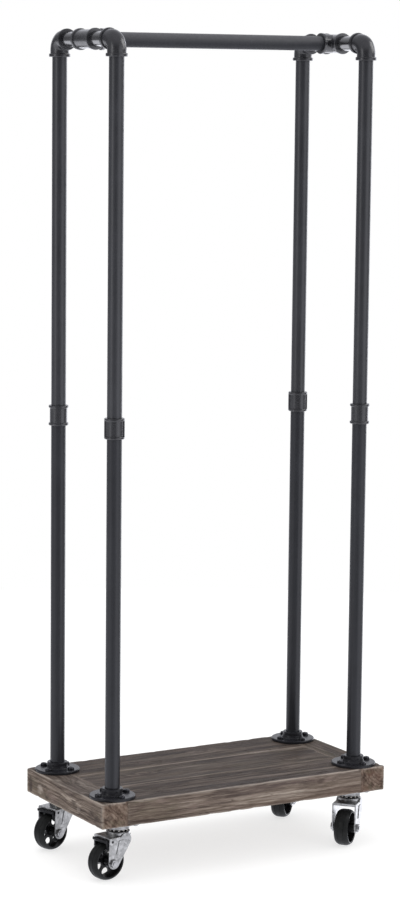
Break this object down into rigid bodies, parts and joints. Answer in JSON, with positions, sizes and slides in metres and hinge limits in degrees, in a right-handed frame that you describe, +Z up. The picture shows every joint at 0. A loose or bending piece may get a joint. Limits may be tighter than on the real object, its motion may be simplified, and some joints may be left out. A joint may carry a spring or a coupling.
{
  "type": "firewood rack",
  "caption": "Tall open firewood rack: black pipe uprights with elbows, tees and a cross pipe on a weathered wooden base that rolls on swivel casters.",
  "frame": {"origin": "on the floor under the middle of the base", "axes": "+Z up, +X along the length of the base, +Y towards the back"},
  "size_m": [0.6085, 0.3096, 1.5093],
  "materials": {
    "pipe_black": "satin black powder coat",
    "fitting_black": "black painted casting",
    "weathered_wood": "grey-brown brushed and stained softwood",
    "dowel_wood": "plain beech",
    "screw_black": "black oxide",
    "screw_zinc": "zinc plated",
    "zinc_sheet": "bright zinc plated pressed sheet",
    "zinc_steel": "zinc plated steel",
    "ball_steel": "hardened balls, greased",
    "tyre_rubber": "charcoal rubber",
    "wheel_plastic": "gloss black moulding",
    "pedal_plastic": "black moulding"
  },
  "bodies": {
    "rack": {"board_dowels": "dowel_wood", "caster_plate_back_left": "zinc_sheet", "caster_plate_back_right": "zinc_sheet", "caster_plate_front_left": "zinc_sheet", "caster_plate_front_right": "zinc_sheet", "coupling_back_left": "fitting_black", "coupling_back_right": "fitting_black", "coupling_front_left": "fitting_black", "coupling_front_right": "fitting_black", "cross_pipe": "pipe_black", "elbow_back_left": "fitting_black", "elbow_back_right": "fitting_black", "elbow_front_left": "fitting_black", "elbow_front_right": "fitting_black", "end_board_left": "weathered_wood", "end_board_right": "weathered_wood", "flange_screws": "screw_black", "floor_flange_back_left": "fitting_black", "floor_flange_back_right": "fitting_black", "floor_flange_front_left": "fitting_black", "floor_flange_front_right": "fitting_black", "kingpins": "zinc_steel", "lower_pipe_back_left": "pipe_black", "lower_pipe_back_right": "pipe_black", "lower_pipe_front_left": "pipe_black", "lower_pipe_front_right": "pipe_black", "nipple_back_left": "pipe_black", "nipple_back_right": "pipe_black", "nipple_front_left": "pipe_black", "nipple_front_right": "pipe_black", "plank_back": "weathered_wood", "plank_front": "weathered_wood", "plank_middle": "weathered_wood", "plate_screws": "screw_zinc", "swivel_balls": "ball_steel", "tee_left": "fitting_black", "tee_right": "fitting_black", "upper_pipe_back_left": "pipe_black", "upper_pipe_back_right": "pipe_black", "upper_pipe_front_left": "pipe_black", "upper_pipe_front_right": "pipe_black"},
    "swivel_front_left": {"caster_fork_front_left": "zinc_sheet", "axle_bolt_front_left": "zinc_steel"},
    "wheel_front_left": {"tyre_front_left": "tyre_rubber", "wheel_centre_front_left": "wheel_plastic"},
    "pedal_front_left": {"brake_pedal_front_left": "pedal_plastic"},
    "swivel_front_right": {"caster_fork_front_right": "zinc_sheet", "axle_bolt_front_right": "zinc_steel"},
    "wheel_front_right": {"tyre_front_right": "tyre_rubber", "wheel_centre_front_right": "wheel_plastic"},
    "swivel_back_left": {"caster_fork_back_left": "zinc_sheet", "axle_bolt_back_left": "zinc_steel"},
    "wheel_back_left": {"tyre_back_left": "tyre_rubber", "wheel_centre_back_left": "wheel_plastic"},
    "pedal_back_left": {"brake_pedal_back_left": "pedal_plastic"},
    "swivel_back_right": {"caster_fork_back_right": "zinc_sheet", "axle_bolt_back_right": "zinc_steel"},
    "wheel_back_right": {"tyre_back_right": "tyre_rubber", "wheel_centre_back_right": "wheel_plastic"}
  },
  "joints": [
    {"name": "swivel_front_left", "type": "hinge", "parent": "rack", "child": "swivel_front_left", "pos_m": [-0.2475, -0.112, 0.0888], "axis": [0, 0, 1], "continuous": true},
    {"name": "wheel_front_left", "type": "hinge", "parent": "swivel_front_left", "child": "wheel_front_left", "pos_m": [-0.27417, -0.11622, 0.034], "axis": [0.1564, -0.9877, 0], "continuous": true},
    {"name": "pedal_front_left", "type": "hinge", "parent": "swivel_front_left", "child": "pedal_front_left", "pos_m": [-0.27614, -0.11654, 0.0732], "axis": [0.1564, -0.9877, 0], "range_deg": [0, 20]},
    {"name": "swivel_front_right", "type": "hinge", "parent": "rack", "child": "swivel_front_right", "pos_m": [0.2475, -0.112, 0.0888], "axis": [0, 0, 1], "continuous": true},
    {"name": "wheel_front_right", "type": "hinge", "parent": "swivel_front_right", "child": "wheel_front_right", "pos_m": [0.22712, -0.12971, 0.034], "axis": [0.6561, -0.7547, 0], "continuous": true},
    {"name": "swivel_back_left", "type": "hinge", "parent": "rack", "child": "swivel_back_left", "pos_m": [-0.2475, 0.112, 0.0888], "axis": [0, 0, 1], "continuous": true},
    {"name": "wheel_back_left", "type": "hinge", "parent": "swivel_back_left", "child": "wheel_back_left", "pos_m": [-0.27332, 0.10411, 0.034], "axis": [0.2924, -0.9563, 0], "continuous": true},
    {"name": "pedal_back_left", "type": "hinge", "parent": "swivel_back_left", "child": "pedal_back_left", "pos_m": [-0.27523, 0.10352, 0.0732], "axis": [0.2924, -0.9563, 0], "range_deg": [0, 20]},
    {"name": "swivel_back_right", "type": "hinge", "parent": "rack", "child": "swivel_back_right", "pos_m": [0.2475, 0.112, 0.0888], "axis": [0, 0, 1], "continuous": true},
    {"name": "wheel_back_right", "type": "hinge", "parent": "swivel_back_right", "child": "wheel_back_right", "pos_m": [0.22697, 0.09446, 0.034], "axis": [0.6494, -0.7604, 0], "continuous": true}
  ]
}
